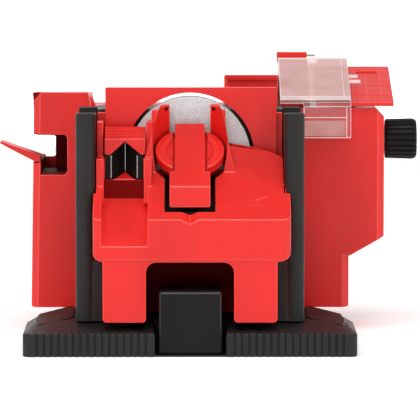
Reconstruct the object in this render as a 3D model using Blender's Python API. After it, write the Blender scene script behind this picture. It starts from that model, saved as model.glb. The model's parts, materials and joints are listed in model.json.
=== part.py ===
"""Bench sharpening machine: a motor on a black base drives two grinding wheels. The front head
guides drill bits and scissors, the rear head guides knives and chisels.

Lengths are in millimetres until add_mesh() scales them to metres. +X is right, +Y is back, +Z is up.
The motor shaft lies along Y at x = 0, and z = 0 is the bench.
"""

import math

import bmesh
import bpy
from mathutils import Matrix, Vector

MM = 0.001
GAP = 0.3  # clearance between neighbouring pieces

# Shaft line and the wheels on it
SHAFT_Z = 76.9
SHAFT_RADIUS = 3.0
MOTOR_RADIUS = 15.0
WHEEL_RADIUS = 25.0
WHEEL_FRONT, WHEEL_BACK = 3.3, 11.3
REAR_WHEEL_RADIUS = 18.5
REAR_WHEEL_FRONT, REAR_WHEEL_BACK = 70.0, 80.0

# Base
BASE_HALF = 67.0
BASE_FRONT, BASE_BACK = -42.0, 42.0
BASE_WAIST = 52.5  # half width at the back of the wide part
DECK_HALF, DECK_WAIST, DECK_FRONT = 62.0, 43.0, -22.0
TAIL_HALF, TAIL_BACK = 40.2, 95.0
BAND_TOP = 9.4
BASE_TOP = 12.0
TAIL_TOP = 9.8
DOCK_LEFT, DOCK_RIGHT, DOCK_BACK = -14.0, 14.4, -14.0
RIB_PITCH, RIB_GROOVE, RIB_DEPTH = 3.3, 1.1, 0.9

# Housing and its two pillars
HOUSING_HALF = 43.1
HOUSING_TOP = 96.4
HOUSING_FRONT, HOUSING_BACK = 12.8, 42.3
WALL = 2.4
PILLAR_OUT, PILLAR_IN, PILLAR_IN_LOW = 46.2, 38.2, 35.4
PILLAR_FRONT, PILLAR_TOP = -25.5, 97.2

# Guard plate round the front wheel
PLATE_LEFT, PLATE_RIGHT, PLATE_TOP = -34.7, 35.5, 105.6
PLATE_FRONT, PLATE_BACK = 3.0, 5.6
PLATE_HOLE = 26.5

# Front head
HEAD_FRONT, HEAD_BACK, HEAD_EDGE = -40.0, 1.5, 55.0
HEAD_LEFT, HEAD_RIGHT, HEAD_INSIDE = -38.9, 40.4, 37.9
HEAD_BOTTOM, LEG_BOTTOM = 38.0, 13.5
LEG_IN, LEG_OUT = 17.6, 35.0
SLOPE = math.radians(34.0)

# Scissor station at the head's left
GUIDE_X, GUIDE_LOW, GUIDE_HIGH = -26.4, 69.2, 78.8
HOOD_LOW, HOOD_HIGH, HOOD_APEX = 79.1, 89.8, 84.5
TROUGH_BACK, TROUGH_DEPTH = -14.1, 9.0

# Drill turret, which swings on an axis square to the slope
TURRET_Y = -8.35
TURRET_RADIUS, TURRET_LOW, TURRET_HIGH = 14.0, 2.1, 6.0
POCKET_RADIUS, POCKET_HALF, POCKET_DEPTH = 15.2, 10.2, 9.0
SLOT_FRONT = -33.0
BAR_TOP, BAR_UNDER = 7.6, 3.4

# Rear head
REAR_FRONT, REAR_BACK = 42.6, 92.0
REAR_BOTTOM, REAR_TOP = 10.6, 94.4
NOTCH_LOW, NOTCH_HIGH = 66.7, 83.6
NOTCH_LEFT, NOTCH_RIGHT = -62.7, -51.6
KNOB_Y, KNOB_Z = 58.0, 81.0
KNOB_RADIUS = 8.6

# Tilted platform and the clear guard above it
PLATFORM_TILT = math.radians(16.5)
PLATFORM_NEAR_Y, PLATFORM_NEAR_Z = 41.0, 95.6
GUARD_TILT = math.radians(19.1)
HINGE_Y, HINGE_Z = 86.0, 115.2


# ---------------------------------------------------------------- helpers

def clear_scene():
    for item in list(bpy.data.objects):
        bpy.data.objects.remove(item, do_unlink=True)


def material(name, colour, roughness, metallic=0.0, alpha=1.0):
    made = bpy.data.materials.new(name)
    made.use_nodes = True
    shader = made.node_tree.nodes["Principled BSDF"]
    shader.inputs["Base Color"].default_value = (*colour, 1.0)
    shader.inputs["Roughness"].default_value = roughness
    shader.inputs["Metallic"].default_value = metallic
    shader.inputs["Alpha"].default_value = alpha
    return made


def add_mesh(name, bm):
    """Turns a bmesh in millimetres into an object in metres, with its faces pointing out."""
    bmesh.ops.recalc_face_normals(bm, faces=bm.faces)
    bmesh.ops.scale(bm, vec=(MM, MM, MM), verts=bm.verts)
    mesh = bpy.data.meshes.new(name)
    bm.to_mesh(mesh)
    bm.free()
    made = bpy.data.objects.new(name, mesh)
    bpy.context.scene.collection.objects.link(made)
    return made


def rounded(corners, steps=4):
    """Outline through (u, v, radius) corners, each turned by an arc of that radius."""
    outline = []
    for i, (u, v, radius) in enumerate(corners):
        here = Vector((u, v))
        if radius == 0:
            outline.append(here)
            continue
        before = (Vector(corners[i - 1][:2]) - here).normalized()
        after = (Vector(corners[(i + 1) % len(corners)][:2]) - here).normalized()
        half = before.angle(after) / 2
        centre = here + (before + after).normalized() * (radius / math.sin(half))
        start = here + before * (radius / math.tan(half)) - centre
        end = here + after * (radius / math.tan(half)) - centre
        sweep = -start.angle_signed(end)
        outline += [centre + Matrix.Rotation(sweep * k / steps, 2) @ start for k in range(steps + 1)]
    return outline


def box_outline(low_u, high_u, low_v, high_v):
    return [(low_u, low_v), (high_u, low_v), (high_u, high_v), (low_u, high_v)]


def circle(radius, centre_u=0.0, centre_v=0.0, sides=32):
    turns = [2 * math.pi * k / sides for k in range(sides)]
    return [(centre_u + radius * math.cos(t), centre_v + radius * math.sin(t)) for t in turns]


def prism(name, axis, outline, low, high):
    """Outline in the plane square to axis, extruded along it from low to high."""
    order = {"X": lambda u, v, w: (w, u, v), "Y": lambda u, v, w: (u, w, v), "Z": lambda u, v, w: (u, v, w)}
    place = order[axis]
    bm = bmesh.new()
    face = bm.faces.new([bm.verts.new(place(u, v, low)) for u, v in outline])
    grown = bmesh.ops.extrude_face_region(bm, geom=[face])["geom"]
    moved = [item for item in grown if isinstance(item, bmesh.types.BMVert)]
    bmesh.ops.translate(bm, verts=moved, vec=place(0, 0, high - low))
    return add_mesh(name, bm)


def frustum(name, lower, upper, low, high):
    """Solid between two level outlines that have the same number of points."""
    bm = bmesh.new()
    rims = [[bm.verts.new((u, v, z)) for u, v in outline] for outline, z in ((lower, low), (upper, high))]
    for rim in rims:
        bm.faces.new(rim)
    for k in range(len(lower)):
        bm.faces.new((rims[0][k - 1], rims[0][k], rims[1][k], rims[1][k - 1]))
    return add_mesh(name, bm)


def box(name, x, y, z):
    return prism(name, "Z", box_outline(*x, *y), *z)


def turned(name, profile, sides=32):
    """Closed profile of (radius, height) points turned about local Z."""
    bm = bmesh.new()
    loops = []
    for radius, height in profile:
        if radius == 0:
            loops.append([bm.verts.new((0, 0, height))] * sides)
        else:
            loops.append([bm.verts.new((u, v, height)) for u, v in circle(radius, sides=sides)])
    for lower, upper in zip(loops, loops[1:] + loops[:1]):
        for k in range(sides):
            near = (k + 1) % sides
            ring = list(dict.fromkeys([lower[k], lower[near], upper[near], upper[k]]))
            if len(ring) > 2:
                bm.faces.new(ring)
    return add_mesh(name, bm)


def rod(name, radius, length, sides=24):
    return turned(name, [(0, 0), (radius, 0), (radius, length), (0, length)], sides)


def tube(name, bore, radius, length, sides=32):
    return turned(name, [(bore, 0), (radius, 0), (radius, length), (bore, length)], sides)


def nut(name, bore, radius, y, thick):
    """Hexagonal nut on the shaft."""
    made = prism(name, "Y", circle(radius, 0, SHAFT_Z, 6), y, y + thick)
    cut(made, on_shaft(rod(f"{name}_bore", bore, thick + 8), y - 4))
    return made


def along_x(item, x, y, z):
    item.location = (x * MM, y * MM, z * MM)
    item.rotation_euler = (0, math.pi / 2, 0)
    return item


def along_y(item, x, y, z):
    item.location = (x * MM, y * MM, z * MM)
    item.rotation_euler = (-math.pi / 2, 0, 0)
    return item


def along_z(item, x, y, z):
    item.location = (x * MM, y * MM, z * MM)
    return item


def on_shaft(item, y):
    return along_y(item, 0, y, SHAFT_Z)


def combine(target, other, operation):
    change = target.modifiers.new(other.name, "BOOLEAN")
    change.operation = operation
    change.solver = "EXACT"
    change.object = other
    other.hide_render = True
    other.display_type = "WIRE"


def cut(target, *others):
    for other in others:
        combine(target, other, "DIFFERENCE")


def join(target, *others):
    for other in others:
        combine(target, other, "UNION")


def soften(item, width, segments=2):
    bevel = item.modifiers.new("soft_edges", "BEVEL")
    bevel.width = width * MM
    bevel.segments = segments
    bevel.limit_method = "ANGLE"


def paint(item, made):
    item.data.materials.append(made)
    return item


def slope_z(y, above=0.0):
    """Height of the front head's sloped top at y, or of a plane that far above it."""
    return HEAD_EDGE + (y - HEAD_FRONT) * math.tan(SLOPE) + above / math.cos(SLOPE)


def on_slope(item):
    """Places an item whose local Z is the turret's axis, with its origin on the slope."""
    item.location = (0, TURRET_Y * MM, slope_z(TURRET_Y) * MM)
    item.rotation_euler = (SLOPE, 0, 0)
    return item


# ---------------------------------------------------------------- base

def ribbed_edge(low_x, high_x):
    """Corners of the grooved front edge of one foot, from left to right."""
    count = int((high_x - low_x) / RIB_PITCH)
    first = (low_x + high_x - (count - 1) * RIB_PITCH) / 2
    corners = []
    for k in range(count):
        middle = first + k * RIB_PITCH
        for side, depth in ((-0.5, 0), (-0.5, RIB_DEPTH), (0.5, RIB_DEPTH), (0.5, 0)):
            corners.append((middle + side * RIB_GROOVE, BASE_FRONT + depth, 0))
    return corners


def base_plan(half, waist, front, recess, front_edges=((), ())):
    """Top view of the base's wide part, with a recess at the front for the dock block."""
    left_edge, right_edge = front_edges
    left, right = DOCK_LEFT - recess, DOCK_RIGHT + recess
    back = BASE_BACK - recess
    corners = [(-half, front, 5), *left_edge, (left, front, 1), (left, DOCK_BACK, 0)]
    corners += [(right, DOCK_BACK, 0), (right, front, 1), *right_edge, (half, front, 5), (half, 2, 12)]
    corners += [(waist, back, 6), (-waist, back, 6), (-half, 2, 12)]
    return rounded(corners)


def base(black):
    ribs = (ribbed_edge(-61.0, -15.5), ribbed_edge(15.9, 61.0))
    plan = base_plan(BASE_HALF, BASE_WAIST, BASE_FRONT, 0, ribs)
    made = paint(prism("base", "Z", plan, 0, BAND_TOP), black)
    lower = base_plan(BASE_HALF - 0.2, BASE_WAIST - 0.2, BASE_FRONT + 0.2, 0.2)
    upper = base_plan(DECK_HALF, DECK_WAIST, DECK_FRONT, 1.0)
    join(made, frustum("base_deck", lower, upper, BAND_TOP - 0.4, BASE_TOP))
    tail = [(-TAIL_HALF, 30, 0), (TAIL_HALF, 30, 0)]
    tail += [(TAIL_HALF, TAIL_BACK, 6), (-TAIL_HALF, TAIL_BACK, 6)]
    join(made, prism("base_tail", "Z", rounded(tail), 0, TAIL_TOP))
    join(made, box("dock_floor", (DOCK_LEFT - 1, DOCK_RIGHT + 1), (BASE_FRONT + 1, DOCK_BACK + 1), (0, 0.7)))
    for side in (-1, 1):
        cut(made, along_z(rod(f"base_counterbore_{side}", 3.0, 5), side * 42.0, -5, -1))
        cut(made, along_z(rod(f"base_screw_hole_{side}", 1.7, 20), side * 42.0, -5, -1))
        cut(made, along_z(rod(f"base_rear_screw_hole_{side}", 1.7, 20), side * 30.0, 31, -1))
    cut(made, box("base_hollow", (-38, 38), (-11, 88), (-1, 7)))
    for k, (x, y) in enumerate(PAD_SPOTS):
        cut(made, along_z(rod(f"base_pad_seat_{k}", 6.0, 2.6), x, y, -1))
    return made


PAD_SPOTS = [(-56, -30), (56, -30), (-49, 26), (49, 26)]


def foot_pads(rubber):
    for k, (x, y) in enumerate(PAD_SPOTS):
        paint(along_z(rod(f"foot_pad_{k + 1}", 5.6, 1.3), x, y, 0), rubber)


def bottom_cover(black):
    paint(box("bottom_cover", (-38 + GAP, 38 - GAP), (-11 + GAP, 88 - GAP), (0, 2.0)), black)


def dock_block(black):
    made = paint(box("dock_block", (-12.4, 12.7), (-40, DOCK_BACK - GAP), (1.0, 26.0)), black)
    soften(made, 0.8)


def base_screws(steel):
    spots = [(-42, -5, 1.5, 18), (42, -5, 1.5, 18), (-30, 31, 4.3, 16), (30, 31, 4.3, 16)]
    for k, (x, y, low, high) in enumerate(spots):
        head = 2.2
        profile = [(0, 0), (2.6, 0), (2.6, head), (1.3, head), (1.3, high - low), (0, high - low)]
        paint(along_z(turned(f"base_screw_{k + 1}", profile, 16), x, y, low), steel)


# ---------------------------------------------------------------- housing and motor

def pillar(side):
    corners = [(side * PILLAR_OUT, PILLAR_FRONT, 3.7), (side * PILLAR_IN, PILLAR_FRONT, 3.4)]
    corners += [(side * PILLAR_IN, HOUSING_FRONT + 1, 0), (side * PILLAR_OUT, HOUSING_FRONT + 1, 2)]
    return prism(f"pillar_{side}", "Z", rounded(corners), BASE_TOP + GAP, PILLAR_TOP)


def housing(black):
    low = BASE_TOP + GAP
    corners = [(-HOUSING_HALF, low, 0), (HOUSING_HALF, low, 0)]
    corners += [(HOUSING_HALF, HOUSING_TOP, 7), (-HOUSING_HALF, HOUSING_TOP, 7)]
    made = paint(prism("housing", "Y", rounded(corners), HOUSING_FRONT, HOUSING_BACK), black)
    inner_half = HOUSING_HALF - WALL
    inner = [(-inner_half, low + WALL, 0), (inner_half, low + WALL, 0)]
    inner += [(inner_half, HOUSING_TOP - WALL, 5), (-inner_half, HOUSING_TOP - WALL, 5)]
    cut(made, prism("housing_hollow", "Y", rounded(inner), HOUSING_FRONT + WALL, 60))
    for side in (-1, 1):
        foot_x = sorted((side * PILLAR_IN_LOW, side * (PILLAR_IN + 2)))
        foot = box(f"pillar_foot_{side}", foot_x, (PILLAR_FRONT + 1, HOUSING_FRONT + 1), (low, 37.0))
        join(made, pillar(side), foot)
        cut(made, along_z(rod(f"pillar_screw_hole_{side}", 1.7, 10), side * 42.0, -5, 9))
        cut(made, along_z(rod(f"housing_screw_hole_{side}", 1.7, 10), side * 30.0, 31, 9))
    fall = [(PILLAR_FRONT - 5, PILLAR_TOP), (HOUSING_FRONT - 0.2, 94.2), (HOUSING_FRONT - 0.2, 110)]
    fall += [(PILLAR_FRONT - 5, 110)]
    cut(made, prism("pillar_top_fall", "X", fall, -60, 60))
    cut(made, on_shaft(rod("front_bearing_seat", 8.4, 10), HOUSING_FRONT - 4))
    cut(made, box("guard_clearance", (36, 60), (37, 60), (95.8, 110)))
    cut(made, box("switch_window", (HOUSING_HALF - 8, 60), (25, 38), (46, 64)))
    return made


def switch(black, red):
    frame_x = (HOUSING_HALF - 7, HOUSING_HALF + 1.2)
    frame = paint(box("switch_frame", frame_x, (25.3, 37.7), (46.3, 63.7)), black)
    cut(frame, box("switch_well", (HOUSING_HALF - 5, 60), (27, 36), (48, 62)))
    rocker = [(HOUSING_HALF - 3.0, 52), (HOUSING_HALF - 3.0, 58), (HOUSING_HALF + 1.4, 60.5)]
    rocker += [(HOUSING_HALF + 0.6, 55), (HOUSING_HALF + 2.9, 50.0)]
    paint(prism("rocker_switch", "Y", rocker, 27.5, 35.5), red)


def motor(steel, copper, carbon, black, bright):
    paint(on_shaft(rod("shaft", SHAFT_RADIUS, 83.6), 0.4), bright)
    bore = SHAFT_RADIUS + GAP
    paint(on_shaft(tube("front_bearing", bore, 8.0, 4), 13.1), bright)
    paint(on_shaft(tube("rear_bearing", bore, 8.0, 4), 57.5), bright)
    paint(on_shaft(tube("stator", 10.4, MOTOR_RADIUS, 26), 24), steel)
    paint(on_shaft(tube("armature", bore, 9.8, 24), 25), copper)
    paint(on_shaft(tube("commutator", bore, 7.0, 6), 50.5), copper)
    for side, name in ((-1, "brush_left"), (1, "brush_right")):
        reach = sorted((side * 7.4, side * 13))
        paint(box(name, reach, (51.5, 55.5), (SHAFT_Z - 2, SHAFT_Z + 2)), carbon)
    paint(on_shaft(tube("motor_bracket", 8.4, MOTOR_RADIUS, 3), 58), black)
    fan(black, bore)


def fan(black, bore):
    """Cooling fan: a hub with straight blades, cut from one toothed outline."""
    blades = 9
    outline = []
    for k in range(blades * 4):
        radius = 14.0 if k % 4 < 2 else 6.5
        turn = 2 * math.pi * (k + (0.3 if k % 2 else 0.0)) / (blades * 4)
        outline.append((radius * math.cos(turn), SHAFT_Z + radius * math.sin(turn)))
    made = paint(prism("cooling_fan", "Y", outline, 18.2, 22.2), black)
    cut(made, on_shaft(rod("fan_bore", bore, 12), 14))


def wheels(stone, steel):
    bore = SHAFT_RADIUS + GAP
    thick = WHEEL_BACK - WHEEL_FRONT
    front = [(bore, 0), (WHEEL_RADIUS - 0.5, 0), (WHEEL_RADIUS, 0.5), (WHEEL_RADIUS, thick), (bore, thick)]
    paint(on_shaft(turned("front_wheel", front, 48), WHEEL_FRONT), stone)
    paint(nut("front_nut", bore, 6.4, WHEEL_FRONT - GAP - 2.4, 2.4), steel)
    paint(on_shaft(tube("front_flange", bore, 6.5, 0.9, 24), WHEEL_BACK + GAP), steel)
    thick = REAR_WHEEL_BACK - REAR_WHEEL_FRONT
    paint(on_shaft(tube("rear_wheel", bore, REAR_WHEEL_RADIUS, thick, 40), REAR_WHEEL_FRONT), stone)
    paint(nut("rear_nut", bore, 6.4, REAR_WHEEL_BACK + GAP, 3.0), steel)


# ---------------------------------------------------------------- wheel guards

def guard_plate(red):
    outline = box_outline(PLATE_LEFT, PLATE_RIGHT, 42, PLATE_TOP)
    made = paint(prism("guard_plate", "Y", outline, PLATE_FRONT, PLATE_BACK), red)
    cut(made, on_shaft(rod("guard_plate_hole", PLATE_HOLE, 12, 64), -2))


def front_cover(red):
    half = PILLAR_IN - GAP
    made = paint(box("front_cover", (-half, half), (PLATE_BACK + GAP, PLATE_BACK + 2.9), (40, 95.2)), red)
    cut(made, on_shaft(rod("front_cover_hole", 28.6, 12, 48), 0))


# ---------------------------------------------------------------- front head

def head_plan():
    """Top view: narrower behind the pillars' front faces, with a curved back edge on the right."""
    radius = 47.5
    centre_x, centre_y = 11.7, HEAD_BACK - radius
    front = [(HEAD_LEFT, PILLAR_FRONT - GAP, 0), (HEAD_LEFT, HEAD_FRONT, 2.5)]
    front += [(HEAD_RIGHT, HEAD_FRONT, 3), (HEAD_RIGHT, PILLAR_FRONT - GAP, 0)]
    corners = [*rounded(front), (HEAD_INSIDE, PILLAR_FRONT - GAP)]
    start = math.acos((HEAD_INSIDE - centre_x) / radius)
    for k in range(9):
        turn = start + (math.pi / 2 - start) * k / 8
        corners.append((centre_x + radius * math.cos(turn), centre_y + radius * math.sin(turn)))
    return corners + [(-HEAD_INSIDE, HEAD_BACK), (-HEAD_INSIDE, PILLAR_FRONT - GAP)]


def horn(side, foot):
    """Wall beside the turret, rising towards the wheel and closing in on it from foot."""
    plan = [(18.7, -14.5), (14.0, -14.5), (8.3, -6.0), (8.3, 1.4), (12.0, 1.4), (14.6, -3.0)]
    made = prism(f"horn_{side}", "Z", [(side * x, y) for x, y in plan], 66, 98.9)
    fall = [(11.9, 98.9), (13.2, 96.0), (foot, 71.5), (30, 71.5), (30, 110), (11.9, 110)]
    cut(made, prism(f"horn_fall_{side}", "Y", [(side * x, z) for x, z in fall], -20, 20))
    return made


def front_head(red):
    corners = [(HEAD_LEFT, HEAD_BOTTOM, 3.5), (-LEG_OUT, HEAD_BOTTOM, 0), (-LEG_OUT, LEG_BOTTOM, 1.5)]
    corners += [(-LEG_IN, LEG_BOTTOM, 1.5), (-LEG_IN, 37.7, 4), (LEG_IN, 37.7, 4), (LEG_IN, LEG_BOTTOM, 1.5)]
    corners += [(LEG_OUT, LEG_BOTTOM, 1.5), (LEG_OUT, HEAD_BOTTOM, 0), (HEAD_RIGHT, HEAD_BOTTOM, 4.2)]
    corners += [(HEAD_RIGHT, 90, 0), (HEAD_LEFT, 90, 0)]
    made = paint(prism("front_head", "Y", rounded(corners), HEAD_FRONT, 9), red)
    combine(made, prism("head_plan", "Z", head_plan(), 0, 100), "INTERSECT")
    waste = [(-60, slope_z(-60)), (20, slope_z(20)), (20, 130), (-60, 130)]
    cut(made, prism("head_slope", "X", waste, -60, 60))
    hollow = [(-37.6, 40.4), (14, 40.4), (14, slope_z(14, -11.8)), (-37.6, slope_z(-37.6, -11.8))]
    cut(made, prism("head_hollow", "X", hollow, -35.6, 35.6))
    for side in (-1, 1):
        inside = sorted((side * (LEG_IN + 2.2), side * (LEG_OUT - 2.2)))
        cut(made, box(f"leg_hollow_{side}", inside, (HEAD_FRONT + 2.2, 20), (0, 43)))
    cut(made, box("leg_back", (-50, 50), (-3, 20), (0, HEAD_BOTTOM - 0.5)))
    join(made, box("arch_back", (-LEG_IN - 1, LEG_IN + 1), (-5.0, -3.2), (14, HEAD_BOTTOM + 1)))
    scissor_station(made)
    join(made, horn(-1, 20.0), horn(1, 18.4))
    join(made, box("horn_step_right", (11.0, 14.5), (-3.0, 1.3), (70, 96.7)))
    pocket = on_slope(along_z(rod("turret_pocket", POCKET_RADIUS, 60, 40), 0, 0, 0))
    pocket.data.transform(Matrix.Translation((0, 0, -POCKET_DEPTH * MM)))
    slot = on_slope(box("turret_slot", (-POCKET_HALF, POCKET_HALF), (SLOT_FRONT, 0), (-POCKET_DEPTH, 20)))
    cut(made, pocket, slot)
    cut(made, box("nut_window", (-8.3, 8.3), (-3, 12), (68.5, 120)))
    groove = on_slope(prism("drill_groove", "Y", [(-4.1, 0.2), (0, -1.5), (4.1, 0.2), (0, 6)], -50, -31))
    cut(made, groove)
    cut(made, on_slope(rod("turret_pin_hole", 1.9, 12)))
    bpy.data.objects["turret_pin_hole"].data.transform(Matrix.Translation((0, 0, -11 * MM)))
    return made


def scissor_station(head):
    """Trough, shelf and walls at the head's left, where a scissor blade is drawn across the guide."""
    floor = [(-60, slope_z(-60, -TROUGH_DEPTH)), (TROUGH_BACK, slope_z(TROUGH_BACK, -TROUGH_DEPTH))]
    floor += [(TROUGH_BACK, 110), (-60, 110)]
    cut(head, prism("trough", "X", floor, -35.4, -17.0))
    low_wall, tall_wall, back = 78.1, 92.2, HEAD_BACK
    join(head, box("left_cheek", (-HEAD_INSIDE, -34.8), (-22.3, back), (60, low_wall)))
    join(head, box("left_wall", (-HEAD_INSIDE, -35.2), (-10, back), (70, tall_wall)))
    join(head, box("right_cheek", (-18.6, -15.4), (-22.3, back), (60, low_wall)))
    join(head, box("right_wall", (-17.8, -15.0), (-9, back), (70, tall_wall)))
    join(head, box("right_step", (-15.6, -11.5), (-6, back), (72, 96.7)))
    cut(head, box("guide_seat", (-34.9, -18.5), (-14.6, 5), (68.9, 130)))
    cut(head, box("hood_seat", (-34.9, -17.8), (-14.6, 5), (78.8, 130)))
    ramp = [(-12.9, 68), (-4, 68), (-4, 72.4), (-12.9, 69.0)]
    blade_floor = prism("blade_floor", "X", ramp, GUIDE_X - 6, GUIDE_X + 5.5)
    for side, edge in ((-1, -31.4), (1, -21.9)):
        apex, away = GUIDE_X - side * 0.3, GUIDE_X + side * 14
        beside = [(away, -14), (edge, -14), (apex, -4.6), (apex, 2), (away, 2)]
        cut(blade_floor, prism(f"blade_floor_{side}", "Z", beside, 60, 80))
    join(head, blade_floor)


def scissor_parts(red, black):
    plan = [(-34.5, -12.5), (-32.1, -12.5), (GUIDE_X, -4.0), (-21.3, -12.5), (-18.9, -12.5)]
    plan += [(-18.9, 0), (-34.5, 0)]
    guide = paint(prism("scissor_guide", "Z", plan, GUIDE_LOW, HOOD_APEX), black)
    above = [(-40, GUIDE_HIGH), (-31.8, GUIDE_HIGH), (GUIDE_X, HOOD_APEX - 0.6), (-20.4, GUIDE_HIGH)]
    above += [(-10, GUIDE_HIGH), (-10, 95), (-40, 95)]
    cut(guide, prism("guide_above", "Y", above, -20, 10))
    front = [(-34.6, HOOD_LOW), (-32.3, HOOD_LOW), (GUIDE_X, HOOD_APEX), (-19.9, HOOD_LOW)]
    front += [(-18.1, HOOD_LOW), (-18.1, HOOD_HIGH), (-34.6, HOOD_HIGH)]
    hood = paint(prism("scissor_hood", "Y", front, -12.6, 0), red)
    fall = [(-14, 84.4), (-12.6, 85.4), (-6.6, 89.8), (-6.6, 100), (-14, 100)]
    cut(hood, prism("hood_fall", "X", fall, -40, -15))


def turret(red, steel):
    rim = TURRET_HIGH - 0.7
    profile = [(0, rim), (10.4, rim), (10.9, TURRET_HIGH), (TURRET_RADIUS - 0.4, TURRET_HIGH)]
    profile += [(TURRET_RADIUS, TURRET_HIGH - 0.4), (TURRET_RADIUS, TURRET_LOW), (4.0, TURRET_LOW)]
    profile += [(4.0, -POCKET_DEPTH + GAP), (0, -POCKET_DEPTH + GAP)]
    ring = paint(on_slope(turned("turret_ring", profile, 48)), red)
    cut(ring, on_slope(box("bar_seat", (-6.9, 6.9), (-20, 20), (BAR_UNDER - GAP, 12))))
    pin_bore = on_slope(rod("turret_pin_bore", 1.9, 30))
    pin_bore.data.transform(Matrix.Translation((0, 0, -12 * MM)))
    cut(ring, pin_bore)
    pin = paint(on_slope(turned("turret_pin", [(0, 0), (1.5, 0), (1.5, 13.4), (0, 13.4)], 16)), steel)
    pin.data.transform(Matrix.Translation((0, 0, -10.5 * MM)))
    drill_bar(red)


def drill_bar(red):
    """Bar that holds the drill bit down: narrow over the ring, wide in front of it."""
    back, waist, step, front = 0.0, -28.0, -26.0, -34.5
    narrow = [(back, BAR_TOP), (waist, BAR_TOP), (waist, BAR_UNDER), (back, BAR_UNDER)]
    made = paint(prism("drill_bar", "X", [(y, slope_z(y, above)) for y, above in narrow], -6.1, 6.1), red)
    wide = [(step, slope_z(step, BAR_TOP)), (front, slope_z(front, BAR_TOP)), (front, slope_z(front, 0.5))]
    wide += [(step, slope_z(step, 0.5))]
    join(made, prism("drill_bar_front", "X", wide, -8.2, 8.2))


# ---------------------------------------------------------------- rear head

def rear_outline():
    right = 81.8
    corners = [(-67.0, REAR_BOTTOM, 1), (67.0, REAR_BOTTOM, 1), (67.0, 32.2, 0), (right, 40.6, 0)]
    corners += [(right, 91.2, 0), (78.0, 95.0, 0), (37.5, 95.0, 0), (37.5, REAR_TOP, 0)]
    corners += [(-41.5, REAR_TOP, 0), (-42.8, 101.6, 0), (-66.3, 101.6, 0), (-65.7, 94.0, 0)]
    return corners


def rear_body(name, front, back, notch_low, notch_high, notch_right):
    """Slab of the rear head's outline with the knife notch through its left side."""
    made = prism(name, "Y", rounded(rear_outline()), front, back)
    cut(made, box(f"{name}_notch", (-90, -64.4), (-10, 200), (72.0, notch_high)))
    slot = [(NOTCH_LEFT, notch_low, 0), (notch_right, notch_low, 1.8)]
    slot += [(notch_right, notch_high, 1.8), (NOTCH_LEFT, notch_high, 0)]
    cut(made, prism(f"{name}_slot", "Y", rounded(slot), -10, 200))
    cut(made, box(f"{name}_mouth", (-66, -60), (-10, 200), (72.0, notch_high)))
    fall = [(REAR_FRONT - 5, 101.7), (110, 98.2), (110, 120), (REAR_FRONT - 5, 120)]
    cut(made, prism(f"{name}_fall", "X", fall, -90, -41))
    return made


def rear_head(red):
    notch = (NOTCH_LOW, NOTCH_HIGH, NOTCH_RIGHT)
    made = paint(rear_body("rear_head", REAR_FRONT, REAR_BACK, *notch), red)
    inside = REAR_FRONT + WALL
    rooms = {
        "room_main": ((-49.2, 64.6), (13.0, 92.0)),
        "room_right": ((60.0, 79.2), (44.0, 90.6)),
        "room_low_left": ((-64.4, -48.0), (13.0, 64.2)),
        "room_high_left": ((-62.8, -45.2), (86.2, 99.2)),
    }
    for name, (x, z) in rooms.items():
        cut(made, box(name, x, (inside, 110), z))
    cut(made, on_shaft(rod("motor_window", MOTOR_RADIUS + 0.8, 10, 40), 38))
    cut(made, box("rear_wheel_slot", (-12, 12), (68.6, 81.4), (85, 100)))
    cut(made, box("carriage_slot", (56.5, 73.5), (50.5, 67.5), (88, 100)))
    cut(made, along_x(rod("screw_hole", 3.1, 20), 74, KNOB_Y, KNOB_Z))
    chamfer = [(-68.0, 94.9), (-68.0, 102.2), (-61.8, 102.2)]
    cut(made, prism("front_corner_chamfer", "Y", chamfer, 30, 48))


def rear_cover(red, black):
    made = paint(rear_body("rear_cover", REAR_BACK + GAP, REAR_BACK + 2.8, 71.0, 80.2, -57.8), red)
    cut(made, along_y(rod("gland_hole", 3.4, 10), -28, 88, 24))
    gland = [(0, 0), (3.0, 0), (3.0, 6.2), (5.5, 6.2), (5.0, 9.5), (3.6, 13.0), (2.2, 13.0), (2.2, 3), (0, 3)]
    paint(along_y(turned("cable_gland", gland, 24), -28, 89, 24), black)


def rear_covers(red):
    shell = [(48, REAR_TOP + GAP), (90, REAR_TOP + GAP), (90, 106.2), (48, 108.6)]
    made = paint(prism("wheel_cover", "X", shell, 14.6, 37.2), red)
    cut(made, box("wheel_cover_hollow", (16.6, 35.2), (50.0, 88.0), (90, 104.2)))
    wedge = [(46, 95.0 + GAP), (88.5, 95.0 + GAP), (88.5, 111.6), (84.0, 111.6), (46, 97.4)]
    paint(prism("guard_bracket", "X", wedge, 38.0, 50.6), red)


def knife_station(red, stone):
    profile = [(-65.2, 72.3), (-80.0, 80.0), (-79.7, 80.9), (-62.9, 74.9), (-62.9, 72.3)]
    paint(prism("knife_rest", "Y", profile, REAR_FRONT, 55.0), red)
    paint(box("knife_stone", (-57.5, NOTCH_RIGHT - 0.9), (72, 91), (67.5, 82.8)), stone)


def chisel_station(red, steel, black):
    tilt = math.tan(PLATFORM_TILT)
    far = 85.5
    low = PLATFORM_NEAR_Z
    rise = (far - PLATFORM_NEAR_Y) * tilt
    thick = 1.6
    plate = [(PLATFORM_NEAR_Y, low), (far, low + rise)]
    plate += [(far, low + rise + thick), (PLATFORM_NEAR_Y, low + thick)]
    platform = paint(prism("chisel_platform", "X", plate, 53.0, 85.6), red)
    cut(platform, box("platform_slot", (71.0, 80.4), (76.5, 79.5), (90, 120)))
    near, away = 52.0, 66.0
    top_near = low + (near - PLATFORM_NEAR_Y) * tilt - GAP
    top_away = low + (away - PLATFORM_NEAR_Y) * tilt - GAP
    block = [(near, 74.0), (away, 74.0), (away, top_away), (near, top_near)]
    carriage = paint(prism("carriage", "X", block, 60.0, 70.0), black)
    cut(carriage, along_x(rod("carriage_bore", 2.9, 20), 55, KNOB_Y, KNOB_Z))
    paint(along_x(rod("adjusting_screw", 2.5, 30.5), 52.0, KNOB_Y, KNOB_Z), steel)
    knob(black)


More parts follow.
